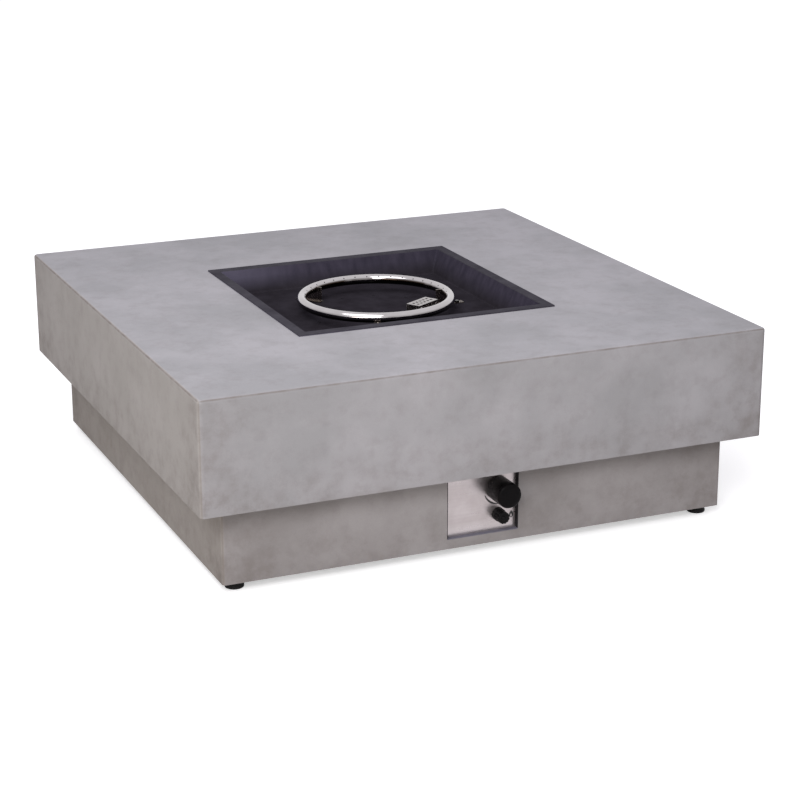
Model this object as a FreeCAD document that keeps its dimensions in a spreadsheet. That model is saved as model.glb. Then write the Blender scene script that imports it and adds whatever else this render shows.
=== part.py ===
import FreeCAD, Part
import os
import re

import Sketcher
from FreeCAD import Placement, Rotation, Vector

# Low square gas fire table: a cast stone top on a set-back stone base, a black
# fire pan with a ring burner and pilot, and a control panel in the base.
# Millimetres. The origin is on the floor under the middle of the table, +Z is up
# and the control panel faces -Y.

os.makedirs("parts", exist_ok=True)
doc = FreeCAD.newDocument("fire_table")

# Driving sizes

SIZES = {
    "top_side": 1067,
    "top_height": 203,
    "top_plate": 28,
    "top_skirt": 24,
    "top_corner": 8,
    "top_edge": 5,
    "top_overhang": 51,
    "base_height": 145,
    "base_tuck": 20,
    "base_wall": 10,
    "base_corner": 6,
    "opening_width": 138,
    "opening_sill": 17.4,
    "opening_height": 116,
    "port_radius": 25,
    "port_level": 75,
    "grommet_wall": 5,
    "grommet_lip": 5,
    "grommet_flange": 2.5,
    "angle_leg": 36,
    "angle_wall": 3,
    "post_leg": 25,
    "foot_height": 17,
    "foot_radius": 17,
    "foot_inset": 30,
    "foot_pad_height": 15,
    "foot_nut_flats": 17,
    "foot_nut_height": 10,
    "stud_flats": 16,
    "stud_radius": 5,
    "stud_reach": 38,
    "pan_depth": 43.7,
    "pan_rise": 2.7,
    "pan_slope": 18.9,
    "pan_rim_half": 235.2,
    "pan_flange_lap": 11.4,
    "pan_sheet": 1.5,
    "pan_cove": 4,
    "pan_gap": 5,
    "vent_radius": 3.2,
    "ring_radius": 142.9,
    "tube_radius": 9.5,
    "ring_height": 25.5,
    "tube_facets": 16,
    "port_count": 36,
    "port_bore": 1.1,
    "port_depth": 2,
    "inlet_radius": 7,
    "inlet_drop": 36,
    "inlet_nut_flats": 22,
    "inlet_nut_height": 6,
    "mixer_radius": 10,
    "mixer_length": 60,
    "mixer_socket": 15,
    "mixer_bore": 5,
    "mixer_window": 4,
    "mixer_window_rise": 22,
    "orifice_flats": 19,
    "orifice_height": 12,
    "orifice_spigot": 10,
    "right_saddle_angle": 357,
    "rear_saddle_angle": 127,
    "front_saddle_angle": 248.5,
    "bracket_throat": 20,
    "bracket_tail": 22,
    "bracket_width": 14,
    "bracket_sheet": 2,
    "bracket_rise": 4.5,
    "bracket_screw_inset": 11.9,
    "hood_length": 61,
    "hood_width": 30,
    "hood_height": 28.7,
    "hood_sheet": 1.2,
    "hood_x": 65.3,
    "hood_y": -71.2,
    "hood_yaw": 30.8,
    "hood_columns": 5,
    "hood_rows": 2,
    "hood_hole": 5.2,
    "hood_pitch": 10.4,
    "hood_foot": 12,
    "hood_foot_width": 14,
    "pilot_plate_length": 38,
    "pilot_plate_width": 18,
    "pilot_sheet": 1.5,
    "pilot_drop": 26,
    "electrode_place": -19,
    "electrode_radius": 3.5,
    "electrode_flange": 5,
    "electrode_body": 14,
    "electrode_tip": 23,
    "electrode_tail": 6,
    "electrode_wire": 1,
    "sensor_place": -3,
    "sensor_radius": 3,
    "sensor_flange": 4.5,
    "sensor_tip": 22,
    "plate_lap": 13,
    "plate_sheet": 2,
    "plate_screw_inset": 6.5,
    "screw_radius": 2,
    "screw_head_flats": 8,
    "screw_head_height": 2.8,
    "screw_bite": 6,
    "knob_inset": 37,
    "knob_rise": 80.6,
    "knob_radius": 22.5,
    "knob_reach": 55,
    "knob_gap": 5,
    "knob_skin": 2.5,
    "knob_front": 4,
    "knob_round": 8,
    "knob_hub": 7,
    "knob_hub_start": 11.3,
    "knob_travel": 4,
    "stem_radius": 4,
    "stem_depth": 18,
    "stem_hole": 8,
    "stem_flat": 1.2,
    "collar_radius": 6.6,
    "collar_height": 3,
    "valve_flange_width": 34,
    "valve_flange_height": 40,
    "valve_flange": 8,
    "valve_radius": 14,
    "valve_length": 70,
    "valve_outlet_radius": 9,
    "valve_outlet_length": 12,
    "valve_inlet_depth": 56,
    "valve_inlet_length": 10,
    "valve_sensor_radius": 6,
    "valve_sensor_length": 8,
    "valve_screw_rise": 14,
    "inlet_block": 18,
    "inlet_stub_radius": 6,
    "inlet_stub": 8,
    "inlet_thread": 7.9,
    "inlet_thread_length": 16,
    "inlet_bore": 4,
    "igniter_offset": 2,
    "igniter_rise": 30.6,
    "igniter_radius": 8,
    "igniter_depth": 55,
    "igniter_collar": 12,
    "igniter_collar_height": 10.3,
    "igniter_neck": 7,
    "igniter_terminal": 2.5,
    "igniter_terminal_length": 7,
    "igniter_nut_flats": 22,
    "igniter_nut_height": 6,
    "cap_radius": 11,
    "cap_reach": 25,
    "cap_roof": 2.5,
    "cap_room": 5,
    "cap_grooves": 12,
    "cap_groove": 1.2,
    "cap_travel": 7.5,
    "button_radius": 4.5,
    "button_proud": 2,
    "button_flange": 5.5,
    "button_flange_height": 0.8,
    "button_travel": 2.5,
    "cell_radius": 5.25,
    "cell_length": 43.7,
    "cell_nib": 1.9,
    "cell_nib_length": 0.8,
    "contact_bore": 3.5,
    "contact_height": 0.6,
    "pipe_radius": 5,
    "elbow_side": 20,
    "elbow_nut_flats": 17,
    "elbow_nut_height": 8,
    "running_gap": 0.05,
    "seat_gap": 0.1,
    "clear_gap": 0.3,
}

# Places worked out from the sizes

PLACES = {
    "soffit": "foot_height + base_height",
    "table_level": "soffit + top_height",
    "ledge_level": "table_level - top_plate",
    "top_half": "top_side / 2",
    "base_half": "top_half - top_overhang",
    "inner_half": "base_half - base_wall",
    "sill_level": "foot_height + opening_sill",
    "opening_half": "opening_width / 2",
    "foot_place": "base_half - foot_inset",
    "floor_level": "table_level - pan_depth",
    "rim_level": "table_level + pan_rise",
    "pan_floor_half": "pan_rim_half - pan_slope",
    "pan_hole_half": "pan_rim_half + pan_sheet + pan_gap",
    "pan_flange_half": "pan_hole_half + pan_flange_lap",
    "bracket_inner": "ring_radius - bracket_throat",
    "bracket_back": "ring_radius + tube_radius + bracket_rise",
    "bracket_outer": "bracket_back + bracket_tail",
    "bracket_screw": "bracket_outer - bracket_screw_inset",
    "knob_x": "opening_half - knob_inset",
    "knob_level": "sill_level + knob_rise",
    "igniter_x": "knob_x + igniter_offset",
    "igniter_level": "sill_level + igniter_rise",
    "ring_level": "floor_level + ring_height",
    "inlet_y": "0 - sqrt(ring_radius ^ 2 - knob_x ^ 2)",
    "inlet_end": "floor_level - inlet_drop",
    "mixer_top": "inlet_end + mixer_socket",
    "mixer_foot": "mixer_top - mixer_length",
    "riser_top": "mixer_foot - orifice_height",
    "panel_y": "0 - inner_half",
    "stem_top": "knob_reach - knob_front - clear_gap",
    "valve_end": "plate_sheet + valve_length",
    "outlet_end": "valve_end + valve_outlet_length",
    "cap_ceiling": "cap_reach - cap_roof",
    "cap_bore": "igniter_neck + clear_gap",
    "button_reach": "cap_reach + button_proud",
    "igniter_neck_reach": "cap_ceiling - cap_room",
    "cell_start": "igniter_neck_reach - cell_length - cell_nib_length",
}

sizes = doc.addObject("Spreadsheet::Sheet", "Sizes")
for row, (alias, value) in enumerate(SIZES.items(), start=1):
    sizes.set(f"A{row}", alias)
    sizes.set(f"B{row}", str(value))
    sizes.setAlias(f"B{row}", alias)
doc.recompute()


def full(text):
    """Write an expression with the sheet's cells in it."""

    def swap(match):
        word = match.group(0)
        if word in PLACES:
            return "(" + full(PLACES[word]) + ")"
        if word in SIZES:
            return "Sizes." + word
        return word

    return re.sub(r"[a-z][a-z0-9_]*", swap, text)


def number(text):
    return float(sizes.evalExpression(full(text)))


def bind(thing, **properties):
    for name, text in properties.items():
        thing.setExpression(name, full(text))


def place(thing, x="0", y="0", z="0", rotation=None):
    if rotation is not None:
        thing.Placement = Placement(Vector(), rotation)
    for axis, text in (("x", x), ("y", y), ("z", z)):
        if text != "0":
            thing.setExpression("Placement.Base." + axis, full(text))
    return thing


ABOUT_Z = Vector(0, 0, 1)
FACING_FRONT = Rotation(Vector(1, 0, 0), 90)
FACING_BACK = Rotation(Vector(1, 0, 0), -90)

# Sketched features

kept = []


def keep(thing, label):
    thing.Label = label
    kept.append(thing)
    return thing


def new_body(label):
    return keep(doc.addObject("PartDesign::Body", label + "_body"), label)


def sketch_on(body, role):
    sketch = body.newObject("Sketcher::SketchObject", "Sketch")
    plane = [item for item in body.Origin.OriginFeatures if item.Role == role][0]
    sketch.AttachmentSupport = [(plane, "")]
    sketch.MapMode = "FlatFace"
    return sketch


def hold_point(sketch, geometry, vertex, x, y):
    for kind, text in (("DistanceX", x), ("DistanceY", y)):
        rule = Sketcher.Constraint(kind, -1, 1, geometry, vertex, number(text))
        index = sketch.addConstraint(rule)
        if text != "0":
            sketch.setExpression(f"Constraints[{index}]", full(text))


def outline(sketch, points):
    """Draw a closed outline whose every corner is held by the sheet."""
    corners = [Vector(number(x), number(y), 0) for x, y in points]
    first = sketch.GeometryCount
    count = len(points)
    for i in range(count):
        sketch.addGeometry(Part.LineSegment(corners[i], corners[(i + 1) % count]), False)
    for i in range(count):
        after = first + (i + 1) % count
        sketch.addConstraint(Sketcher.Constraint("Coincident", first + i, 2, after, 1))
    for i, (x, y) in enumerate(points):
        hold_point(sketch, first + i, 1, x, y)


def rectangle(sketch, left, low, right, high):
    outline(sketch, [(left, low), (right, low), (right, high), (left, high)])


def square(sketch, half):
    rectangle(sketch, f"0 - ({half})", f"0 - ({half})", half, half)


def circle(sketch, x, y, radius):
    centre = Vector(number(x), number(y), 0)
    index = sketch.addGeometry(Part.Circle(centre, ABOUT_Z, number(radius)), False)
    hold_point(sketch, index, 3, x, y)
    rule = sketch.addConstraint(Sketcher.Constraint("Radius", index, number(radius)))
    sketch.setExpression(f"Constraints[{rule}]", full(radius))


def pad(body, sketch, length, side="One side"):
    feature = body.newObject("PartDesign::Pad", "Pad")
    feature.Profile = sketch
    feature.SideType = side
    bind(feature, Length=length)
    return feature


def pocket(body, sketch, length, side="One side", reverse=False):
    feature = body.newObject("PartDesign::Pocket", "Pocket")
    feature.Profile = sketch
    feature.SideType = side
    feature.Reversed = reverse
    bind(feature, Length=length)
    return feature


def turned(label, points):
    """Turn a profile of radius and height about the body's own Z axis."""
    body = new_body(label)
    sketch = sketch_on(body, "XZ_Plane")
    outline(sketch, points)
    feature = body.newObject("PartDesign::Revolution", "Turn")
    feature.Profile = sketch
    feature.ReferenceAxis = (sketch, ["V_Axis"])
    feature.Angle = 360
    return body


def round_edges(body, radius, wanted):
    """Round the edges of the body's last feature whose points all pass a test."""
    doc.recompute()
    last = body.Tip
    names = []
    for index, edge in enumerate(last.Shape.Edges, start=1):
        start, end = edge.ParameterRange
        points = [edge.valueAt(place) for place in (start, (start + end) / 2, end)]
        if all(wanted(point) for point in points):
            names.append(f"Edge{index}")
    feature = body.newObject("PartDesign::Fillet", "Round")
    feature.Base = (last, names)
    bind(feature, Radius=radius)
    return feature


# Plain solids and booleans

def box(x, y, z, length, width, height):
    solid = doc.addObject("Part::Box", "Box")
    bind(solid, Length=length, Width=width, Height=height)
    return place(solid, x, y, z)


def rod(radius, length, x="0", y="0", z="0", rotation=None):
    solid = doc.addObject("Part::Cylinder", "Rod")
    bind(solid, Radius=radius, Height=length)
    return place(solid, x, y, z, rotation)


def hexagon(flats, height, z="0", rotation=None, x="0"):
    solid = doc.addObject("Part::Prism", "Hexagon")
    solid.Polygon = 6
    bind(solid, Circumradius=f"({flats}) / sqrt(3)", Height=height)
    return place(solid, x, "0", z, rotation)


def fuse(*solids):
    union = doc.addObject("Part::MultiFuse", "Union")
    union.Shapes = list(solids)
    union.Refine = True
    return union


def cut(base, *tools):
    rest = doc.addObject("Part::Cut", "Rest")
    rest.Base = base
    rest.Tool = tools[0] if len(tools) == 1 else fuse(*tools)
    return rest


def group(label, solids):
    bundle = doc.addObject("Part::Compound", "Bundle")
    bundle.Links = solids
    return keep(bundle, label)


def screw(length, x, y, z, rotation):
    """A hex-head screw whose head sits at its own origin, above a plain shank."""
    head = hexagon("screw_head_flats", "screw_head_height")
    shank = rod("screw_radius", length, z=f"0 - ({length})")
    return place(fuse(head, shank), x, y, z, rotation)


# Stone top: a cast plate with a deep skirt, hollow below, open for the pan

top = new_body("table_top")
top_sketch = sketch_on(top, "XY_Plane")
square(top_sketch, "top_half")
pad(top, top_sketch, "top_height")
top_edge_place = number("top_half") - 0.01
top_corner_place = top_edge_place - number("top_corner")
round_edges(
    top,
    "top_corner",
    lambda p: abs(p.x) > top_edge_place and abs(p.y) > top_edge_place,
)
upper_face = number("top_height") - 0.01
round_edges(top, "top_edge", lambda p: p.z > upper_face)
hollow = sketch_on(top, "XY_Plane")
square(hollow, "top_half - top_skirt")
pocket(top, hollow, "top_height - top_plate", reverse=True)
pan_hole = sketch_on(top, "XY_Plane")
square(pan_hole, "pan_hole_half")
pocket(top, pan_hole, "top_height + 1", reverse=True)
place(top, z="soffit")

# Stone base: four thin walls cast as one ring, with the control opening in front
# and the hose port behind, tucked up inside the top

base = new_body("base_shell")
base_sketch = sketch_on(base, "XY_Plane")
square(base_sketch, "base_half")
pad(base, base_sketch, "base_height + base_tuck")
base_corner_place = number("base_half") - 0.01
round_edges(
    base,
    "base_corner",
    lambda p: abs(p.x) > base_corner_place and abs(p.y) > base_corner_place,
)
base_hollow = sketch_on(base, "XY_Plane")
square(base_hollow, "inner_half")
pocket(base, base_hollow, "base_height + base_tuck + 1", reverse=True)
control_opening = sketch_on(base, "XZ_Plane")
rectangle(
    control_opening,
    "0 - opening_half",
    "opening_sill",
    "opening_half",
    "opening_sill + opening_height",
)
pocket(base, control_opening, "base_half + 1", reverse=True)
hose_port = sketch_on(base, "XZ_Plane")
circle(hose_port, "0", "port_level - foot_height", "port_radius")
pocket(base, hose_port, "base_half + 1")

plate_screw_x = "opening_half + plate_screw_inset"
plate_screw_levels = (
    "sill_level - plate_screw_inset",
    "sill_level + opening_height + plate_screw_inset",
)
plate_screw_holes = sketch_on(base, "XZ_Plane")
for side in ("0 - (%s)", "%s"):
    for level in plate_screw_levels:
        circle(
            plate_screw_holes,
            side % plate_screw_x,
            f"{level} - foot_height",
            "screw_radius + seat_gap",
        )
pocket(base, plate_screw_holes, "inner_half + screw_bite + clear_gap", reverse=True)

place(base, z="foot_height")

# Rubber grommet in the hose port

grommet_bore = "port_radius - seat_gap - grommet_wall"
grommet = turned(
    "hose_grommet",
    [
        (grommet_bore, "0 - grommet_flange"),
        ("port_radius + grommet_lip", "0 - grommet_flange"),
        ("port_radius + grommet_lip", "0"),
        ("port_radius - seat_gap", "0"),
        ("port_radius - seat_gap", "base_wall"),
        ("port_radius + grommet_lip", "base_wall"),
        ("port_radius + grommet_lip", "base_wall + grommet_flange"),
        (grommet_bore, "base_wall + grommet_flange"),
    ],
)
place(grommet, "0", "inner_half", "port_level", FACING_BACK)

# Steel frame: angle rails under the base and under the top's plate, four posts

SIDES = ("front", "right", "rear", "left")
SIDE_PLACES = (
    ("0", "0 - inner_half"),
    ("inner_half", "0"),
    ("0", "inner_half"),
    ("0 - inner_half", "0"),
)


def rail(label, turn, upper):
    body = new_body(label)
    sketch = sketch_on(body, "YZ_Plane")
    up = "0 - " if upper else ""
    outline(
        sketch,
        [
            ("0", "0"),
            ("angle_leg", "0"),
            ("angle_leg", up + "angle_leg"),
            ("angle_leg - angle_wall", up + "angle_leg"),
            ("angle_leg - angle_wall", up + "angle_wall"),
            ("0", up + "angle_wall"),
        ],
    )
    runs_through = turn % 2 == 0
    length = "2 * inner_half" if runs_through else "2 * (inner_half - angle_leg)"
    pad(body, sketch, length, side="Symmetric")
    if runs_through and not upper:
        holes = sketch_on(body, "XY_Plane")
        for side in ("0 - foot_place", "foot_place"):
            circle(holes, side, "foot_inset - base_wall", "stud_radius + clear_gap")
        pocket(body, holes, "angle_wall + 1", reverse=True)
    x, y = SIDE_PLACES[turn]
    level = "ledge_level" if upper else "foot_height"
    place(body, x, y, level, Rotation(ABOUT_Z, 90 * turn))


for turn, side in enumerate(SIDES):
    rail(f"lower_rail_{side}", turn, upper=False)
    rail(f"upper_rail_{side}", turn, upper=True)

CORNERS = ("front_left", "front_right", "rear_right", "rear_left")
CORNER_SIGNS = ((-1, -1), (1, -1), (1, 1), (-1, 1))


def signed(sign, text):
    return text if sign > 0 else f"0 - ({text})"


def post(label, turn):
    body = new_body(label)
    sketch = sketch_on(body, "XY_Plane")
    outline(
        sketch,
        [
            ("0", "0"),
            ("post_leg", "0"),
            ("post_leg", "angle_wall"),
            ("angle_wall", "angle_wall"),
            ("angle_wall", "post_leg"),
            ("0", "post_leg"),
        ],
    )
    pad(body, sketch, "ledge_level - foot_height - 2 * angle_wall")
    x_sign, y_sign = CORNER_SIGNS[turn]
    place(
        body,
        signed(x_sign, "inner_half"),
        signed(y_sign, "inner_half"),
        "foot_height + angle_wall",
        Rotation(ABOUT_Z, 90 * turn),
    )


for turn, corner in enumerate(CORNERS):
    post(f"post_{corner}", turn)

# Levelling feet: a moulded pad on a steel stud, screwed up through a nut that is
# welded to the frame


def at_foot(thing, x_sign, y_sign, level="0"):
    return place(thing, signed(x_sign, "foot_place"), signed(y_sign, "foot_place"), level)


foot_nuts = []
for x_sign, y_sign in CORNER_SIGNS:
    blank = hexagon("foot_nut_flats", "foot_nut_height")
    bore = rod("stud_radius + clear_gap", "foot_nut_height + 2", z="0 - 1")
    foot_nuts.append(at_foot(cut(blank, bore), x_sign, y_sign, "foot_height + angle_wall"))
group("foot_nuts", foot_nuts)

for corner, (x_sign, y_sign) in zip(CORNERS, CORNER_SIGNS):
    foot_pad = rod("foot_radius", "foot_pad_height")
    keep(at_foot(foot_pad, x_sign, y_sign), f"foot_pad_{corner}")
    shank = rod("stud_radius", "stud_reach - foot_pad_height", z="foot_pad_height")
    collar = hexagon("stud_flats", "foot_height - clear_gap - foot_pad_height", "foot_pad_height")
    keep(at_foot(fuse(shank, collar), x_sign, y_sign), f"foot_stud_{corner}")

# Fire pan: a welded sheet tub with sloping walls, a rolled cove at its floor and
# a hemmed flange that lies on the stone


def tub(floor_half, rim_half, low, high, cove):
    """A square tapered block, rounded at its floor and up its four corners if asked."""
    block = doc.addObject("Part::Wedge", "Tub")
    for name in ("Xmin", "Zmin"):
        bind(block, **{name: f"0 - ({floor_half})"})
    for name in ("Xmax", "Zmax"):
        bind(block, **{name: floor_half})
    for name in ("X2min", "Z2min"):
        bind(block, **{name: f"0 - ({rim_half})"})
    for name in ("X2max", "Z2max"):
        bind(block, **{name: rim_half})
    bind(block, Ymin=low, Ymax=high)
    block.Placement = Placement(Vector(), FACING_FRONT)
    if cove is None:
        return block
    doc.recompute()
    ceiling = number(high) - 0.01
    rounded = doc.addObject("Part::Fillet", "CoveTub")
    rounded.Base = block
    edges = []
    for index, edge in enumerate(block.Shape.Edges, start=1):
        if min(vertex.Point.z for vertex in edge.Vertexes) < ceiling:
            edges.append((index, number(cove), number(cove)))
    rounded.Edges = edges
    return rounded


def pan_hole_tool(radius, x, y):
    return rod(radius, "pan_sheet + 2", x, y, "floor_level - pan_sheet - 1")


def hood_point(along, across="0"):
    """Turn a place on the pilot hood's own length and width into the table's X and Y."""
    x = f"hood_x + ({along}) * cos(hood_yaw * 1 deg) - ({across}) * sin(hood_yaw * 1 deg)"
    y = f"hood_y + ({along}) * sin(hood_yaw * 1 deg) + ({across}) * cos(hood_yaw * 1 deg)"
    return x, y


hood_screw_place = "hood_length / 2 + hood_foot / 2"
VENTS = ((-27, 108), (38, 104), (91, 66), (-6, -13), (-129, -32))
SADDLE_ANGLES = ("right_saddle_angle", "rear_saddle_angle", "front_saddle_angle")

outer_tub = tub(
    "pan_floor_half + pan_sheet",
    "pan_rim_half + pan_sheet",
    "floor_level - pan_sheet",
    "rim_level - pan_sheet / 2",
    None,
)
flange = box(
    "0 - pan_flange_half",
    "0 - pan_flange_half",
    "table_level",
    "2 * pan_flange_half",
    "2 * pan_flange_half",
    "pan_rise",
)
inner_tub = tub("pan_floor_half", "pan_rim_half", "floor_level", "rim_level", "pan_cove")
hem_half = "pan_flange_half - pan_sheet"
under_flange = cut(
    box(
        f"0 - ({hem_half})",
        f"0 - ({hem_half})",
        "table_level - 1",
        f"2 * ({hem_half})",
        f"2 * ({hem_half})",
        "1 + pan_rise - pan_sheet",
    ),
    box(
        "0 - pan_rim_half - pan_sheet",
        "0 - pan_rim_half - pan_sheet",
        "table_level - 2",
        "2 * (pan_rim_half + pan_sheet)",
        "2 * (pan_rim_half + pan_sheet)",
        "pan_rise + 4",
    ),
)
pan_tools = [under_flange, inner_tub]
for x, y in VENTS:
    pan_tools.append(pan_hole_tool("vent_radius", str(x), str(y)))
pan_tools.append(pan_hole_tool("inlet_radius + clear_gap", "knob_x", "inlet_y"))
for angle in SADDLE_ANGLES:
    pan_tools.append(
        pan_hole_tool(
            "screw_radius + seat_gap",
            f"bracket_screw * cos({angle} * 1 deg)",
            f"bracket_screw * sin({angle} * 1 deg)",
        )
    )
pan_tools.append(pan_hole_tool("electrode_radius + clear_gap", *hood_point("electrode_place")))
pan_tools.append(pan_hole_tool("sensor_radius + clear_gap", *hood_point("sensor_place")))
pan_tools.append(pan_hole_tool("screw_radius + seat_gap", *hood_point(hood_screw_place)))
keep(cut(fuse(outer_tub, flange), *pan_tools), "burner_pan")

# Ring burner: a closed tube with gas ports round its upper inner side and a
# welded inlet that passes down through the pan. The tube's section has many flats,
# one of which faces the ports' direction, up and inwards at 45 degrees.

PORT_SLANT = 135


def ring_section():
    corners = []
    for index in range(int(number("tube_facets"))):
        angle = f"({PORT_SLANT} + ({index} + 0.5) * 360 / tube_facets) * 1 deg"
        x = f"ring_radius + tube_radius * cos({angle})"
        corners.append((x, f"tube_radius * sin({angle})"))
    return corners


def ring_ports():
    """Make the drills of all the ports, each a six-sided rod through the tube's wall."""
    count = int(number("port_count"))
    slant = Rotation(Vector(0, 1, 0), PORT_SLANT - 180)
    depth = number("port_depth")
    reach = number("tube_radius") - depth
    first = [Rotation(ABOUT_Z, 60 * corner).multVec(Vector(number("port_bore"), 0, reach))
             for corner in range(7)]
    drill = Part.Face(Part.makePolygon(first)).extrude(ABOUT_Z * 2 * depth)
    drill.Placement = Placement(Vector(number("ring_radius"), 0, 0), slant)
    drills = []
    for index in range(count):
        turned_drill = drill.copy()
        turned_drill.rotate(Vector(), ABOUT_Z, (index + 0.5) * 360 / count)
        drills.append(turned_drill)
    return Part.makeCompound(drills)


ring_tube = doc.addObject("PartDesign::Body", "RingTube")
ring_sketch = sketch_on(ring_tube, "XZ_Plane")
outline(ring_sketch, ring_section())
ring_turn = ring_tube.newObject("PartDesign::Revolution", "RingTurn")
ring_turn.Profile = ring_sketch
ring_turn.ReferenceAxis = (ring_sketch, ["V_Axis"])
ring_turn.Angle = 360
place(ring_tube, z="ring_level")
port_drills = doc.addObject("Part::Feature", "RingPorts")
port_drills.Shape = ring_ports()
place(port_drills, z="ring_level")
inlet_tube = rod(
    "inlet_radius",
    "inlet_drop + ring_height - tube_radius / 2",
    "knob_x",
    "inlet_y",
    "inlet_end",
)
keep(cut(fuse(ring_tube, inlet_tube), port_drills), "burner_ring")

# Saddles that carry the ring: a flat foot on the pan's floor and an upright
# plate notched for the tube

saddle_foot_top = "bracket_sheet"
saddle_top = "ring_height + bracket_rise"
for index, saddle_angle in enumerate(SADDLE_ANGLES, start=1):
    saddle = new_body(f"ring_saddle_{index}")
    foot = sketch_on(saddle, "XY_Plane")
    rectangle(
        foot,
        "bracket_inner",
        "0 - bracket_width / 2",
        "bracket_outer",
        "bracket_width / 2",
    )
    circle(foot, "bracket_screw", "0", "screw_radius + seat_gap")
    pad(saddle, foot, "bracket_sheet")
    upright = sketch_on(saddle, "XZ_Plane")
    outline(
        upright,
        [
            ("bracket_inner", "0"),
            ("bracket_back", "0"),
            ("bracket_back", "ring_height - tube_radius"),
            ("ring_radius", "ring_height"),
            ("ring_radius - tube_radius / 2", saddle_top),
            ("bracket_inner", saddle_top),
        ],
    )
    pad(saddle, upright, "bracket_sheet", side="Symmetric")
    notch = sketch_on(saddle, "XZ_Plane")
    circle(notch, "ring_radius", "ring_height", "tube_radius + seat_gap")
    pocket(saddle, notch, "bracket_width", side="Symmetric")
    place(saddle, z="floor_level")
    saddle.Placement.Rotation = Rotation(ABOUT_Z, number(saddle_angle))

burner_screws = []
for saddle_angle in SADDLE_ANGLES:
    burner_screws.append(
        screw(
            "bracket_sheet + pan_sheet + screw_bite",
            f"bracket_screw * cos({saddle_angle} * 1 deg)",
            f"bracket_screw * sin({saddle_angle} * 1 deg)",
            "floor_level + bracket_sheet",
            None,
        )
    )
hood_screw_x, hood_screw_y = hood_point(hood_screw_place)
burner_screws.append(
    screw(
        "hood_sheet + pan_sheet + screw_bite",
        hood_screw_x,
        hood_screw_y,
        "floor_level + hood_sheet",
        None,
    )
)
group("burner_screws", burner_screws)

# Inlet nuts above and below the pan's floor


def inlet_nut(level):
    blank = hexagon("inlet_nut_flats", "inlet_nut_height")
    bore = rod("inlet_radius + running_gap", "inlet_nut_height + 2", z="0 - 1")
    return place(cut(blank, bore), "knob_x", "inlet_y", level)


nut_levels = ("floor_level", "floor_level - pan_sheet - inlet_nut_height")
group("inlet_nuts", [inlet_nut(level) for level in nut_levels])

# Air mixer and gas orifice under the pan

mixer_blank = rod("mixer_radius", "mixer_length")
mixer_through = rod("mixer_bore + running_gap", "mixer_length + 2", z="0 - 1")
mixer_socket = rod(
    "inlet_radius + running_gap", "mixer_socket + 1", z="mixer_length - mixer_socket"
)
mixer_windows = [
    box(
        f"0 - ({along}) / 2",
        f"0 - ({across}) / 2",
        "mixer_window_rise - mixer_window",
        along,
        across,
        "2 * mixer_window",
    )
    for along, across in (
        ("4 * mixer_radius", "2 * mixer_window"),
        ("2 * mixer_window", "4 * mixer_radius"),
    )
]
mixer = cut(mixer_blank, mixer_through, mixer_socket, *mixer_windows)
keep(place(mixer, "knob_x", "inlet_y", "mixer_foot"), "air_mixer")

orifice_hex = hexagon("orifice_flats", "orifice_height")
orifice_spigot = rod("mixer_bore", "orifice_spigot + orifice_height")
orifice = fuse(orifice_hex, orifice_spigot)
keep(place(orifice, "knob_x", "inlet_y", "riser_top"), "gas_orifice")

# Pilot hood: a folded sheet with a punched roof, open to the flame at its front
# and left end

hood = new_body("pilot_hood")
hood_sketch = sketch_on(hood, "XY_Plane")
rectangle(
    hood_sketch,
    "0 - hood_length / 2",
    "0 - hood_width / 2",
    "hood_length / 2",
    "hood_width / 2",
)
pad(hood, hood_sketch, "hood_height")
hood_room = sketch_on(hood, "XY_Plane")
rectangle(
    hood_room,
    "0 - hood_length / 2 - 1",
    "0 - hood_width / 2 - 1",
    "hood_length / 2 - hood_sheet",
    "hood_width / 2 - hood_sheet",
)
pocket(hood, hood_room, "hood_height - hood_sheet", reverse=True)
punched = sketch_on(hood, "XY_Plane")
for column in range(int(number("hood_columns"))):
    for rank in range(int(number("hood_rows"))):
        x = f"({column} - (hood_columns - 1) / 2) * hood_pitch"
        y = f"({rank} - (hood_rows - 1) / 2) * hood_pitch"
        rectangle(
            punched,
            f"{x} - hood_hole / 2",
            f"{y} - hood_hole / 2",
            f"{x} + hood_hole / 2",
            f"{y} + hood_hole / 2",
        )
pocket(hood, punched, "hood_height + 1", reverse=True)
hood_foot = sketch_on(hood, "XY_Plane")
rectangle(
    hood_foot,
    "hood_length / 2 - hood_sheet",
    "0 - hood_foot_width / 2",
    "hood_length / 2 + hood_foot",
    "hood_foot_width / 2",
)
circle(hood_foot, hood_screw_place, "0", "screw_radius + seat_gap")
pad(hood, hood_foot, "hood_sheet")
place(hood, "hood_x", "hood_y", "floor_level", Rotation(ABOUT_Z, number("hood_yaw")))

# Pilot plate with the spark electrode and the flame sensor standing in it

pilot_plate = new_body("pilot_plate")
pilot_sketch = sketch_on(pilot_plate, "XY_Plane")
pilot_middle = "(electrode_place + sensor_place) / 2"
rectangle(
    pilot_sketch,
    f"{pilot_middle} - pilot_plate_length / 2",
    "0 - pilot_plate_width / 2",
    f"{pilot_middle} + pilot_plate_length / 2",
    "pilot_plate_width / 2",
)
circle(pilot_sketch, "electrode_place", "0", "electrode_radius + seat_gap")
circle(pilot_sketch, "sensor_place", "0", "sensor_radius + seat_gap")
pad(pilot_plate, pilot_sketch, "pilot_sheet")
place(pilot_plate, "hood_x", "hood_y", "floor_level", Rotation(ABOUT_Z, number("hood_yaw")))

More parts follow.
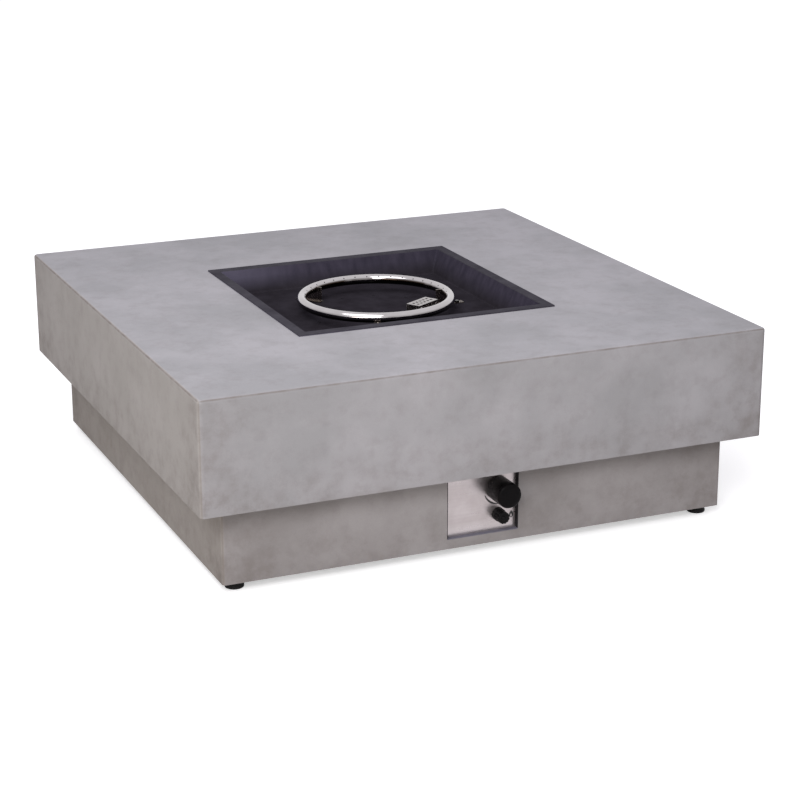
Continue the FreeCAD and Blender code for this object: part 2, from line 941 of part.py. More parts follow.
electrode_x, electrode_y = hood_point("electrode_place")
electrode_core = "electrode_wire + running_gap"
insulator = turned(
    "electrode_insulator",
    [
        (electrode_core, "0 - pilot_drop"),
        ("electrode_radius", "0 - pilot_drop"),
        ("electrode_radius", "pilot_sheet"),
        ("electrode_flange", "pilot_sheet"),
        ("electrode_radius", "3 * pilot_sheet"),
        ("electrode_radius", "electrode_body - 1"),
        ("electrode_radius - 1", "electrode_body"),
        (electrode_core, "electrode_body"),
    ],
)
place(insulator, electrode_x, electrode_y, "floor_level")
electrode_length = "electrode_tip + pilot_drop + electrode_tail"
electrode_rod = rod(
    "electrode_wire",
    electrode_length,
    electrode_x,
    electrode_y,
    "floor_level - pilot_drop - electrode_tail",
)
keep(electrode_rod, "electrode_rod")

sensor_x, sensor_y = hood_point("sensor_place")
sensor = turned(
    "flame_sensor",
    [
        ("0", "0 - pilot_drop"),
        ("sensor_radius", "0 - pilot_drop"),
        ("sensor_radius", "pilot_sheet"),
        ("sensor_flange", "pilot_sheet"),
        ("sensor_flange", "2 * pilot_sheet"),
        ("sensor_radius", "2 * pilot_sheet"),
        ("sensor_radius", "sensor_tip - 2 * sensor_radius"),
        ("sensor_radius * 0.6", "sensor_tip - sensor_radius"),
        ("sensor_radius * 0.6", "sensor_tip"),
        ("0", "sensor_tip"),
    ],
)
place(sensor, sensor_x, sensor_y, "floor_level")

# Control plate behind the opening, with its four screws

panel = new_body("control_plate")
panel_sketch = sketch_on(panel, "XY_Plane")
rectangle(
    panel_sketch,
    "0 - opening_half - plate_lap",
    "sill_level - plate_lap",
    "opening_half + plate_lap",
    "sill_level + opening_height + plate_lap",
)
circle(panel_sketch, "knob_x", "knob_level", "stem_hole")
circle(panel_sketch, "igniter_x", "igniter_level", "igniter_radius + clear_gap")
for level in ("knob_level - valve_screw_rise", "knob_level + valve_screw_rise"):
    circle(panel_sketch, "knob_x", level, "screw_radius + seat_gap")
for side in ("0 - (%s)", "%s"):
    for level in plate_screw_levels:
        circle(panel_sketch, side % plate_screw_x, level, "screw_radius + seat_gap")
panel_pad = pad(panel, panel_sketch, "plate_sheet")
panel_pad.Reversed = True
place(panel, "0", "panel_y", "0", FACING_FRONT)

plate_screws = []
for side in ("0 - (%s)", "%s"):
    for level in plate_screw_levels:
        plate_screws.append(
            screw(
                "plate_sheet + screw_bite",
                side % plate_screw_x,
                "panel_y + plate_sheet",
                level,
                FACING_BACK,
            )
        )
group("plate_screws", plate_screws)

# Gas valve behind the plate: flange, barrel, outlet to the rear, inlet to the
# left and a boss for the flame sensor's lead on top

ALONG_LEFT = Rotation(Vector(0, 1, 0), -90)
ALONG_UP = Rotation(Vector(1, 0, 0), -90)
inlet_depth = "0 - plate_sheet - valve_inlet_depth"
valve_front = box(
    "0 - valve_flange_width / 2",
    "0 - valve_flange_height / 2",
    "0 - plate_sheet - valve_flange",
    "valve_flange_width",
    "valve_flange_height",
    "valve_flange",
)
barrel = rod("valve_radius", "valve_length", z="0 - valve_end")
outlet = rod("valve_outlet_radius", "valve_outlet_length + valve_radius", z="0 - outlet_end")
inlet_boss = rod(
    "valve_outlet_radius",
    "valve_radius + valve_inlet_length",
    z=inlet_depth,
    rotation=ALONG_LEFT,
)
sensor_boss = rod(
    "valve_sensor_radius",
    "valve_radius + valve_sensor_length",
    z=inlet_depth,
    rotation=ALONG_UP,
)
stem_bore = rod(
    "stem_radius + running_gap",
    "stem_depth + knob_travel + clear_gap + 1",
    z="0 - plate_sheet - stem_depth - knob_travel - clear_gap",
)
screw_bores = [
    rod("screw_radius + seat_gap", "valve_flange + 2", "0", rise, "0 - plate_sheet - valve_flange - 1")
    for rise in ("valve_screw_rise", "0 - valve_screw_rise")
]
valve = cut(fuse(valve_front, barrel, outlet, inlet_boss, sensor_boss), stem_bore, *screw_bores)
keep(place(valve, "knob_x", "panel_y", "knob_level", FACING_FRONT), "gas_valve")

valve_screws = []
for level in ("knob_level - valve_screw_rise", "knob_level + valve_screw_rise"):
    valve_screws.append(
        screw("plate_sheet + valve_flange", "knob_x", "panel_y", level, FACING_FRONT)
    )
group("valve_screws", valve_screws)

# Gas inlet: an elbow on the valve's left, with its thread facing down to the open
# bottom of the base

inlet_place = "valve_radius + valve_inlet_length + inlet_stub + inlet_block / 2"
inlet_block = box(
    "0 - inlet_block / 2",
    "0 - inlet_block / 2",
    "0 - inlet_block / 2",
    "inlet_block",
    "inlet_block",
    "inlet_block",
)
inlet_stub = rod(
    "inlet_stub_radius", "inlet_block / 2 + inlet_stub", rotation=Rotation(Vector(0, 1, 0), 90)
)
inlet_thread = rod(
    "inlet_thread",
    "inlet_thread_length",
    z="0 - inlet_block / 2 - inlet_thread_length",
)
inlet_bore = rod(
    "inlet_bore",
    "inlet_thread_length + inlet_block / 2 + 1",
    z="0 - inlet_block / 2 - inlet_thread_length - 1",
)
inlet_elbow = cut(fuse(inlet_block, inlet_stub, inlet_thread), inlet_bore)
place(
    inlet_elbow,
    f"knob_x - ({inlet_place})",
    "panel_y + plate_sheet + valve_inlet_depth",
    "knob_level",
)
keep(inlet_elbow, "gas_inlet_fitting")

# Gas knob: a hollow moulded cap on the valve's stem, its front edge rounded in
# four steps

knob_shell = [("knob_radius", "knob_gap")]
for turn in (0, 22.5, 45, 67.5, 90):
    knob_shell.append(
        (
            f"knob_radius - knob_round + knob_round * cos({turn} * 1 deg)",
            f"knob_reach - knob_round + knob_round * sin({turn} * 1 deg)",
        )
    )
knob_shell += [
    ("0", "knob_reach"),
    ("0", "knob_reach - knob_front"),
    ("stem_radius + running_gap", "knob_reach - knob_front"),
    ("stem_radius + running_gap", "knob_hub_start"),
    ("knob_hub", "knob_hub_start"),
    ("knob_hub", "knob_reach - knob_front"),
    ("knob_radius - knob_skin", "knob_reach - knob_front"),
    ("knob_radius - knob_skin", "knob_gap"),
]
knob = turned("gas_knob", knob_shell)
place(knob, "knob_x", "panel_y", "knob_level", FACING_FRONT)

stem_blank = rod("stem_radius", "stem_top + plate_sheet + stem_depth", z="0 - plate_sheet - stem_depth")
stem_flat_cut = box(
    "stem_radius - stem_flat",
    "0 - stem_radius",
    "knob_hub_start + collar_height",
    "stem_radius",
    "2 * stem_radius",
    "knob_reach",
)
stem = cut(stem_blank, stem_flat_cut)
keep(place(stem, "knob_x", "panel_y", "knob_level", FACING_FRONT), "valve_stem")

# Spring seat round the stem, pushed in with the knob but not turned by it

seat_top = "knob_hub_start - clear_gap"
spring_seat = turned(
    "spring_seat",
    [
        ("stem_radius + clear_gap", f"{seat_top} - collar_height"),
        ("collar_radius", f"{seat_top} - collar_height"),
        ("collar_radius", seat_top),
        ("stem_radius + clear_gap", seat_top),
    ],
)
place(spring_seat, "knob_x", "panel_y", "knob_level", FACING_FRONT)

# Battery igniter: a long body through the plate, a bezel in front, a nut behind,
# and a screw cap that holds the button over one small cell


def igniter_piece(thing):
    return place(thing, "igniter_x", "panel_y", "igniter_level", FACING_FRONT)


cell_room = "cell_radius + clear_gap"
cell_bottom = "cell_start - clear_gap"
igniter = turned(
    "igniter_body",
    [
        ("0", "0 - igniter_depth - igniter_terminal_length"),
        ("igniter_terminal", "0 - igniter_depth - igniter_terminal_length"),
        ("igniter_terminal", "0 - igniter_depth"),
        ("igniter_radius", "0 - igniter_depth"),
        ("igniter_radius", "igniter_collar_height"),
        ("igniter_neck", "igniter_collar_height"),
        ("igniter_neck", "igniter_neck_reach"),
        (cell_room, "igniter_neck_reach"),
        (cell_room, cell_bottom),
        ("0", cell_bottom),
    ],
)
igniter_piece(igniter)

bezel = turned(
    "igniter_bezel",
    [
        ("igniter_radius + running_gap", "0"),
        ("igniter_collar", "0"),
        ("igniter_collar", "igniter_collar_height - 1"),
        ("igniter_collar - 1", "igniter_collar_height"),
        ("igniter_radius + running_gap", "igniter_collar_height"),
    ],
)
igniter_piece(bezel)

nut_blank = hexagon("igniter_nut_flats", "igniter_nut_height", "0 - plate_sheet - igniter_nut_height")
nut_bore = rod(
    "igniter_radius + running_gap",
    "igniter_nut_height + 2",
    z="0 - plate_sheet - igniter_nut_height - 1",
)
keep(igniter_piece(cut(nut_blank, nut_bore)), "igniter_nut")

cap_blank = rod("cap_radius", "cap_reach - igniter_collar_height - clear_gap")
cap_room = rod("cap_bore", "cap_ceiling - igniter_collar_height - clear_gap + 1", z="0 - 1")
cap_window = rod("button_radius + clear_gap", "cap_reach")
cap_cuts = [cap_room, cap_window]
for index in range(int(number("cap_grooves"))):
    angle = f"({index} * 360 / cap_grooves) * 1 deg"
    groove = doc.addObject("Part::Prism", "Groove")
    groove.Polygon = 4
    bind(groove, Circumradius="cap_groove", Height="cap_reach")
    groove.Placement = Placement(Vector(), Rotation(ABOUT_Z, index * 360 / number("cap_grooves")))
    cap_cuts.append(
        place(groove, f"cap_radius * cos({angle})", f"cap_radius * sin({angle})", "1")
    )
cap = cut(cap_blank, *cap_cuts)
place(
    cap,
    "igniter_x",
    "panel_y - igniter_collar_height - clear_gap",
    "igniter_level",
    FACING_FRONT,
)
keep(cap, "igniter_cap")

flange_top = "cap_ceiling - clear_gap"
button = turned(
    "igniter_button",
    [
        ("0", f"{flange_top} - button_flange_height"),
        ("button_flange", f"{flange_top} - button_flange_height"),
        ("button_flange", flange_top),
        ("button_radius", flange_top),
        ("button_radius", "button_reach - 1"),
        ("button_radius - 1", "button_reach"),
        ("0", "button_reach"),
    ],
)
igniter_piece(button)

contact_start = "igniter_neck_reach + clear_gap"
contact = turned(
    "cap_contact",
    [
        ("contact_bore", contact_start),
        ("cap_bore - clear_gap", contact_start),
        ("cap_bore - clear_gap", f"{contact_start} + contact_height"),
        ("contact_bore", f"{contact_start} + contact_height"),
    ],
)
igniter_piece(contact)

cell = turned(
    "igniter_cell",
    [
        ("0", "cell_start"),
        ("cell_radius", "cell_start"),
        ("cell_radius", "cell_start + cell_length"),
        ("cell_nib", "cell_start + cell_length"),
        ("cell_nib", "igniter_neck_reach"),
        ("0", "igniter_neck_reach"),
    ],
)
igniter_piece(cell)

# Gas pipe: a straight run from the valve, a block elbow with two nuts, and a riser
# to the burner's orifice

keep(
    rod(
        "pipe_radius",
        "inlet_y - elbow_side / 2 - panel_y - outlet_end",
        "knob_x",
        "panel_y + outlet_end",
        "knob_level",
        FACING_BACK,
    ),
    "gas_pipe",
)
keep(
    rod(
        "pipe_radius",
        "riser_top - knob_level - elbow_side / 2",
        "knob_x",
        "inlet_y",
        "knob_level + elbow_side / 2",
    ),
    "gas_riser",
)
elbow_block = box(
    "0 - elbow_side / 2",
    "0 - elbow_side / 2",
    "0 - elbow_side / 2",
    "elbow_side",
    "elbow_side",
    "elbow_side",
)
elbow_nuts = []
for turn in (None, FACING_FRONT):
    nut = hexagon("elbow_nut_flats", "elbow_nut_height", "elbow_side / 2")
    hole = rod("pipe_radius + running_gap", "elbow_nut_height + 1", z="elbow_side / 2")
    ring = cut(nut, hole)
    if turn is not None:
        ring.Placement = Placement(Vector(), turn)
    elbow_nuts.append(ring)
elbow = fuse(elbow_block, *elbow_nuts)
keep(place(elbow, "knob_x", "inlet_y", "knob_level"), "pipe_elbow")

# Check every object, then write one file for each sub-part

doc.recompute()
for thing in doc.Objects:
    for state in ("Invalid", "Error"):
        if state in thing.State:
            raise RuntimeError(f"{thing.Name} is {state}")
labels = [thing.Label for thing in kept]
if len(set(labels)) != len(labels):
    raise RuntimeError("two sub-parts share a name")
for thing in kept:
    shape = thing.Shape
    if shape.isNull() or not shape.isValid() or not shape.Solids:
        raise RuntimeError(f"{thing.Label} has no valid shape")
    shape.exportStep(f"parts/{thing.Label}.step")
print(len(kept), "sub-parts")
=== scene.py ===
import math

import bmesh
import bpy
from mathutils import Matrix, Vector


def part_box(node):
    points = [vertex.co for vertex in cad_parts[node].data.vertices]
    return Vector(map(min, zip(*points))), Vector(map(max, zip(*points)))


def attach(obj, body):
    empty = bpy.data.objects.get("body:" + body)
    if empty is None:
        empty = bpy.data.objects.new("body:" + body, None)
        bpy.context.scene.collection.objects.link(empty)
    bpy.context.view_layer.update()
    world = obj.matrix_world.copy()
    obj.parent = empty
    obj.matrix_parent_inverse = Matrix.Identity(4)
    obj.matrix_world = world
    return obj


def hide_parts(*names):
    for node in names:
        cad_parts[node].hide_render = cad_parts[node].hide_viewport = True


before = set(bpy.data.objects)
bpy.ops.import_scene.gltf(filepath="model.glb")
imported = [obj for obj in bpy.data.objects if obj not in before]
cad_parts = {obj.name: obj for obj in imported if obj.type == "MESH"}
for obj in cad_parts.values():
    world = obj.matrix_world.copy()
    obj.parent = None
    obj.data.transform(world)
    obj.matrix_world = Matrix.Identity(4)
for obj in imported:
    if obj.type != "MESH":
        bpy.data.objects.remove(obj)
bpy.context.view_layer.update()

# Camera. A long lens looks a little down on the table from the left of its front, so
# that the front, the left end and the top all show. Its place was worked out from
# the corners of the square top.

LENS = 95.86
SENSOR_WIDTH = 36.0
CAMERA_PLACE = (-1.5196, -3.6400, 1.4095)
CAMERA_AZIMUTH = -23.3206
CAMERA_ELEVATION = 17.8304
CAMERA_ROLL = -0.078

camera = bpy.data.objects.new("camera", bpy.data.cameras.new("camera"))
camera.data.lens = LENS
camera.data.sensor_width = SENSOR_WIDTH
turn = Matrix.Rotation(math.radians(CAMERA_AZIMUTH), 4, "Z")
tilt = Matrix.Rotation(math.radians(90 - CAMERA_ELEVATION), 4, "X")
roll = Matrix.Rotation(math.radians(CAMERA_ROLL), 4, "Z")
camera.matrix_world = Matrix.Translation(CAMERA_PLACE) @ turn @ tilt @ roll
bpy.context.collection.objects.link(camera)
bpy.context.scene.camera = camera
bpy.context.scene.view_settings.view_transform = "Standard"

# Studio. A wide white floor lies under a white sky, and both light the table less
# than they look, so that its shadow stays. A broad lamp hangs overhead, a strong one
# stands in front to the left, and a weaker, warmer one faces the left end.


class Field:
    """A value that varies over a surface; each sum with it adds a node."""

    def __init__(self, owner, socket):
        self.owner = owner
        self.socket = socket

    def sum_of(self, operation, *values):
        return self.owner.node("Math", {"operation": operation}, dict(enumerate(values)))

    def __add__(self, other):
        return self.sum_of("ADD", self, other)

    def __radd__(self, other):
        return self.sum_of("ADD", other, self)

    def __sub__(self, other):
        return self.sum_of("SUBTRACT", self, other)

    def __rsub__(self, other):
        return self.sum_of("SUBTRACT", other, self)

    def __mul__(self, other):
        return self.sum_of("MULTIPLY", self, other)

    def __rmul__(self, other):
        return self.sum_of("MULTIPLY", other, self)

    def __abs__(self):
        return self.sum_of("ABSOLUTE", self)


class Nodes:
    """The node tree of a material or of the sky."""

    def __init__(self, tree):
        self.tree = tree

    def node(self, kind, settings=None, inputs=None, output=0):
        made = self.tree.nodes.new("ShaderNode" + kind)
        for name, value in (settings or {}).items():
            setattr(made, name, value)
        for name, value in (inputs or {}).items():
            self.feed(made.inputs[name], value)
        return Field(self, made.outputs[output])

    def feed(self, socket, value):
        if isinstance(value, Field):
            self.tree.links.new(value.socket, socket)
        else:
            socket.default_value = value


class Paint(Nodes):
    """One material, built from its shader outwards."""

    def __init__(self, name, **fixed):
        self.material = bpy.data.materials.new(name)
        self.material.use_nodes = True
        super().__init__(self.material.node_tree)
        self.shader = self.tree.nodes["Principled BSDF"]
        self.wear(**fixed)

    def wear(self, **values):
        """Set the shader's own sockets, named in small letters."""
        for name, value in values.items():
            title = name.replace("_", " ")
            self.feed(next(s for s in self.shader.inputs if s.name.lower() == title), value)

    def coat(self, *targets):
        """Put this material on whole nodes of the frame or on new pieces."""
        for target in targets:
            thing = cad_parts[target] if isinstance(target, str) else target
            thing.data.materials.clear()
            thing.data.materials.append(self.material)


def largest(first, second):
    return first.sum_of("MAXIMUM", first, second)


def blend(share, first, second):
    """Go from the first colour to the second by a share that varies."""
    inputs = {0: share, 6: first, 7: second}
    return share.owner.node("Mix", {"data_type": "RGBA"}, inputs, output=2)


def shown(surface):
    """1 for what the camera, a mirror or a glass shows, 0 for what lights other things."""
    share = surface.node("LightPath", output="Is Camera Ray")
    for ray in ("Is Glossy Ray", "Is Transmission Ray"):
        share = largest(share, surface.node("LightPath", output=ray))
    return share


SKY_AS_LIGHT = (0.60, 0.59, 0.63, 1.0)
SKY_SHOWN = (1.0, 1.0, 1.0, 1.0)
FLOOR_AS_LIGHT = (0.52, 0.50, 0.46, 1.0)
FLOOR_SHOWN = (0.9, 0.9, 0.9, 1.0)
FLOOR_GLOW = (0.5, 0.5, 0.5, 1.0)
NO_GLOW = (0.0, 0.0, 0.0, 1.0)
FLOOR_HALF = 30.0

bpy.context.scene.world = bpy.data.worlds.new("studio_sky")
bpy.context.scene.world.use_nodes = True
sky = Nodes(bpy.context.scene.world.node_tree)
sky_colour = sky.tree.nodes["Background"].inputs["Color"]
sky.feed(sky_colour, blend(shown(sky), SKY_AS_LIGHT, SKY_SHOWN))

floor_mesh = bpy.data.meshes.new("floor")
floor_corners = [
    (-FLOOR_HALF, -FLOOR_HALF, 0.0),
    (FLOOR_HALF, -FLOOR_HALF, 0.0),
    (FLOOR_HALF, FLOOR_HALF, 0.0),
    (-FLOOR_HALF, FLOOR_HALF, 0.0),
]
floor_mesh.from_pydata(floor_corners, [], [(0, 1, 2, 3)])
floor = bpy.data.objects.new("floor", floor_mesh)
bpy.context.collection.objects.link(floor)
floor_paint = Paint("floor_white", roughness=0.9, specular_ior_level=0.0)
floor_paint.wear(
    base_color=blend(shown(floor_paint), FLOOR_AS_LIGHT, FLOOR_SHOWN),
    emission_color=blend(shown(floor_paint), NO_GLOW, FLOOR_GLOW),
    emission_strength=1.0,
)
floor_paint.coat(floor)


def lamp(name, place, target, power, size, colour=(1.0, 1.0, 1.0)):
    data = bpy.data.lights.new(name, "AREA")
    data.energy = power
    data.shape = "DISK"
    data.size = size
    data.color = colour
    thing = bpy.data.objects.new(name, data)
    thing.location = place
    aim = Vector(target) - Vector(place)
    thing.rotation_euler = aim.to_track_quat("-Z", "Y").to_euler()
    bpy.context.collection.objects.link(thing)


WARM = (1.0, 0.92, 0.82)
lamp("overhead_lamp", (-1.2, -0.9, 3.0), (-0.2, -0.2, 0.3), power=36, size=2.4)
lamp("front_lamp", (-1.7, -3.3, 2.5), (-0.1, -0.4, 0.2), power=61, size=1.6)
lamp("left_lamp", (-2.7, -2.6, 1.0), (-0.5, -0.5, 0.2), power=20, size=1.6, colour=WARM)

# Frame. Rolled steel angle, welded into a box that stands inside the stone, and
# powder coated black with a slight orange peel. Nuts on the corners of its lower
# rails take the studs of the feet.


def pigment(red, green, blue):
    """Turn a pigment's levels, 0 to 255, into the colour that a shader takes."""
    channels = []
    for level in (red, green, blue):
        share = level / 255
        dark = share <= 0.04045
        channels.append(share / 12.92 if dark else ((share + 0.055) / 1.055) ** 2.4)
    return (*channels, 1.0)


def own_place(paint):
    """Where a point of the surface is, in the frame's own metres."""
    return paint.node("TexCoord", output="Object")


def noise(paint, scale, detail=4.0, roughness=0.5, stretch=None):
    where = own_place(paint)
    if stretch is not None:
        where = paint.node("Mapping", None, {"Vector": where, "Scale": stretch})
    inputs = {"Vector": where, "Scale": scale, "Detail": detail, "Roughness": roughness}
    return paint.node("TexNoise", None, inputs)


def spread(field, low, high, start=0.0, end=1.0):
    """Stretch a field's range from low..high to start..end, held at both ends."""
    inputs = {"Value": field, "From Min": low, "From Max": high}
    inputs.update({"To Min": start, "To Max": end})
    return field.owner.node("MapRange", None, inputs)


def relief(paint, height, depth, strength):
    inputs = {"Height": height, "Distance": depth, "Strength": strength}
    paint.wear(normal=paint.node("Bump", None, inputs))


def mottle(paint, pattern, first, second, smooth, rough):
    """Let one pattern vary a finish's colour and its roughness together."""
    roughness = spread(pattern, 0.3, 0.7, smooth, rough)
    paint.wear(base_color=blend(pattern, first, second), roughness=roughness)


frame_coat = Paint("frame_powder_coat")
orange_peel = noise(frame_coat, 900.0, 2.0)
mottle(frame_coat, orange_peel, pigment(40, 40, 42), pigment(56, 56, 58), 0.42, 0.55)
relief(frame_coat, orange_peel, 0.0002, 0.4)
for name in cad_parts:
    if name.startswith(("lower_rail", "upper_rail", "post_")) or name == "foot_nuts":
        frame_coat.coat(name)

# Feet. Moulded black pads with rounded edges, each on a zinc-plated steel stud that
# screws into the frame and levels its corner.


def add_piece(name, mesh_maker, slot, *replaced, body="table", smooth=True):
    """Build a piece in the frame's own metres and hang it on the body it moves with."""
    work = bmesh.new()
    mesh_maker(work)
    mesh = bpy.data.meshes.new(name)
    bmesh.ops.recalc_face_normals(work, faces=work.faces)
    for face in work.faces:
        face.smooth = smooth
    work.to_mesh(mesh)
    work.free()
    piece = bpy.data.objects.new(name, mesh)
    bpy.context.collection.objects.link(piece)
    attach(piece, body)
    if replaced:
        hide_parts(*replaced)
    return piece


def sweep(work, loops):
    """Join a closed round of loops, each a closed row of points, with quads."""
    made = [[work.verts.new(point) for point in loop] for loop in loops]
    count = len(made[0])
    for this, after in zip(made, made[1:] + made[:1]):
        for side in range(count):
            other = (side + 1) % count
            work.faces.new((this[side], after[side], after[other], this[other]))


def lathe(work, profile, place, steps):
    """Turn a closed profile of radius and height about the local Z of a placement."""
    loops = []
    for step in range(steps):
        turn = 2 * math.pi * step / steps
        x, y = math.cos(turn), math.sin(turn)
        loops.append([place @ Vector((r * x, r * y, h)) for r, h in profile])
    sweep(work, loops)
    bmesh.ops.remove_doubles(work, verts=work.verts, dist=1e-6)


foot_plastic = Paint("foot_plastic", specular_ior_level=0.1)
scuffs = noise(foot_plastic, 180.0, 3.0)
mottle(foot_plastic, scuffs, pigment(20, 20, 21), pigment(36, 35, 36), 0.45, 0.65)
relief(foot_plastic, scuffs, 0.0003, 0.4)

zinc = Paint("zinc_plate", metallic=1.0)
spangle = noise(zinc, 240.0, 3.0)
mottle(zinc, spangle, pigment(176, 178, 180), pigment(206, 207, 208), 0.28, 0.42)
relief(zinc, spangle, 0.0001, 0.3)

FOOT_HEIGHT = 0.015
FOOT_PROFILE = [
    (0.0, 0.0),
    (0.0145, 0.0),
    (0.0162, 0.0007),
    (0.017, 0.0024),
    (0.0168, 0.0050),
    (0.0158, 0.0056),
    (0.0158, 0.0090),
    (0.0150, 0.0138),
    (0.0138, FOOT_HEIGHT),
    (0.0, FOOT_HEIGHT),
]
FOOT_STEPS = 48

for corner in ("front_left", "front_right", "rear_right", "rear_left"):
    low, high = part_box("foot_pad_" + corner)
    middle = Matrix.Translation(((low.x + high.x) / 2, (low.y + high.y) / 2, low.z))
    pad = add_piece(
        "moulded_foot_" + corner,
        lambda work: lathe(work, FOOT_PROFILE, middle, FOOT_STEPS),
        "foot_plastic",
        "foot_pad_" + corner,
        body="foot_" + corner,
    )
    foot_plastic.coat(pad)
    zinc.coat("foot_stud_" + corner)

# Stone base. Four thin walls cast in fibre-reinforced concrete, sealed and bonded to
# the frame, set back under the top. The casting is cloudy, darker and browner towards
# its corners and its foot, with a few pinholes.

BASE_HALF, BASE_LOW = 0.4825, 0.017
TABLE_HEIGHT = 0.365
DARK_BROWN = pigment(122, 115, 112)
WARM_END_LIGHT = pigment(172, 166, 157)
CORNER_DARKENING, FOOT_DARKENING = 0.13, 0.09
PINHOLE_SCALE = 26.0


def axis(paint, name):
    return paint.node("SeparateXYZ", None, {0: own_place(paint)}, output=name)


def smallest(first, second):
    return first.sum_of("MINIMUM", first, second)


def cast_stone(name, light_tone, dark_tone, half, low):
    paint = Paint(name, specular_ior_level=0.0)
    x, y, z = abs(axis(paint, "X")), abs(axis(paint, "Y")), axis(paint, "Z")
    clouds = noise(paint, 3.4, 3.0, 0.5)
    patches = noise(paint, 12.0, 5.0, 0.6)
    grain = noise(paint, 420.0, 3.0, 0.6)
    share = spread(clouds * 0.55 + patches * 0.45, 0.40, 0.60)
    colour = blend(share, light_tone, dark_tone)
    # Painted light: both ends are painted a little warmer, for the warm light on them.
    painted_end_light = spread(x, half - 0.004, half - 0.003, 0.0, 0.45)
    colour = blend(painted_end_light, colour, WARM_END_LIGHT)
    # Darker and browner towards the vertical corners and towards the foot.
    near_corner = spread(smallest(x, y), half - CORNER_DARKENING, half, 0.0, 0.30)
    on_corner = spread(smallest(x, y), half - 0.004, half - 0.0015, 0.0, 0.6)
    colour = blend(on_corner, colour, DARK_BROWN)
    near_foot = spread(z, low, low + FOOT_DARKENING, 0.30, 0.0)
    on_side = spread(z, TABLE_HEIGHT - 0.006, TABLE_HEIGHT - 0.003, 1.0, 0.15)
    blotches = spread(noise(paint, 17.0, 5.0, 0.65), 0.42, 0.68)
    darkened = (near_corner + near_foot) * on_side * (0.35 + blotches)
    colour = blend(darkened, colour, DARK_BROWN)
    # The rim round the table's top is darker, unevenly.
    near_rim = spread(largest(x, y), half - 0.0035, half - 0.001)
    on_rim = spread(z, TABLE_HEIGHT - 0.0045, TABLE_HEIGHT - 0.002) * near_rim
    rim_unevenness = spread(noise(paint, 30.0, 4.0, 0.6), 0.40, 0.60, 0.65, 1.0)
    colour = blend(on_rim * rim_unevenness, colour, DARK_BROWN)
    marks = spread(noise(paint, 34.0, 6.0, 0.7), 0.48, 0.82, 0.0, 0.26)
    colour = blend(marks, colour, DARK_BROWN)
    colour = blend(spread(grain, 0.3, 0.7, 0.0, 0.08), colour, DARK_BROWN)
    cells = {"Vector": own_place(paint), "Scale": PINHOLE_SCALE}
    pits = spread(paint.node("TexVoronoi", None, cells), 0.0, 0.04, 1.0, 0.0)
    rare = spread(paint.node("TexVoronoi", None, cells, output="Color"), 0.72, 0.74)
    pinholes = pits * rare
    colour = blend(pinholes * 0.6, colour, DARK_BROWN)
    paint.wear(base_color=colour, roughness=spread(patches, 0.3, 0.7, 0.50, 0.66))
    relief(paint, grain * 0.4 + patches * 1.4 - pinholes * 1.2, 0.0006, 0.45)
    return paint


base_tones = pigment(166, 162, 163), pigment(149, 145, 145)
base_stone = cast_stone("base_stone", *base_tones, BASE_HALF, BASE_LOW)
base_stone.coat("base_shell")

# Hose grommet. A black rubber ring pressed into the round hole in the back wall of
# the base, where the gas comes in.

rubber = Paint("black_rubber", specular_ior_level=0.1)
bloom = noise(rubber, 260.0, 4.0)
mottle(rubber, bloom, pigment(22, 22, 24), pigment(42, 42, 45), 0.6, 0.75)
relief(rubber, bloom, 0.0002, 0.4)
rubber.coat("hose_grommet")

# Stone top. A hollow slab of the same casting, a little paler, with a square opening
# for the pan and a dark line round its rim. It is rubbed smooth, sealed and
# bonded to the upper rails.

TOP_HALF, TOP_LOW = 0.5335, 0.162

top_tones = pigment(171, 169, 173), pigment(158, 157, 160)
top_stone = cast_stone("top_stone", *top_tones, TOP_HALF, TOP_LOW)
top_stone.coat("table_top")

# Fire pan. Folded and welded steel sheet with a heat-resistant matt black coat, a
# little dusty on its floor, with faint drawn streaks, a lighter flange, and walls
# painted paler to the left, a painted reflection. Its flange laps over the stone.

WALL_LOW, WALL_HIGH = 0.326, 0.352
HEM_LOW, HEM_HIGH = 0.3655, 0.3668
PAINTED_SHEEN_FULL, PAINTED_SHEEN_FADE = -0.24, -0.06

pan_coat = Paint("pan_black", specular_ior_level=0.0)
dust = noise(pan_coat, 30.0, 5.0, 0.6)
streaks = noise(pan_coat, 70.0, 3.0, 0.5, stretch=(1.0, 1.0, 0.05))
peel = noise(pan_coat, 700.0, 2.0)
height = axis(pan_coat, "Z")
floor_tone = blend(spread(dust, 0.35, 0.7), pigment(42, 39, 44), pigment(52, 49, 55))
wall_tone = blend(spread(streaks, 0.3, 0.7), pigment(52, 49, 60), pigment(64, 60, 72))
hem_tone = blend(spread(dust, 0.3, 0.7), pigment(62, 60, 66), pigment(76, 74, 80))
# Painted reflection: the walls are painted paler and more violet towards the left.
painted_sheen = spread(axis(pan_coat, "X"), PAINTED_SHEEN_FULL, PAINTED_SHEEN_FADE, 0.75, 0.0)
wall_tone = blend(painted_sheen, wall_tone, pigment(96, 92, 108))
tone = blend(spread(height, WALL_LOW, WALL_HIGH), floor_tone, wall_tone)
tone = blend(spread(height, HEM_LOW, HEM_HIGH), tone, hem_tone)
pan_coat.wear(base_color=tone, roughness=spread(dust, 0.3, 0.7, 0.38, 0.52))
relief(pan_coat, peel + dust * 0.5, 0.0002, 0.35)
pan_coat.coat("burner_pan")

# Ring burner. A polished stainless tube bent to a ring and butt welded, with gas
# ports drilled round its upper inner side and an inlet stub that drops through the
# pan, held there by two nuts.

RING_RADIUS = 0.1429
TUBE_RADIUS = 0.0095
RING_LEVEL = 0.3468
RING_STEPS, TUBE_STEPS = 192, 32
INLET_RADIUS = 0.007
INLET_X = 0.032
INLET_STEPS = 40
PORT_COUNT = 36
PORT_RADIUS = 0.0013
PORT_STEPS = 16
PORT_LIFT = 0.00005

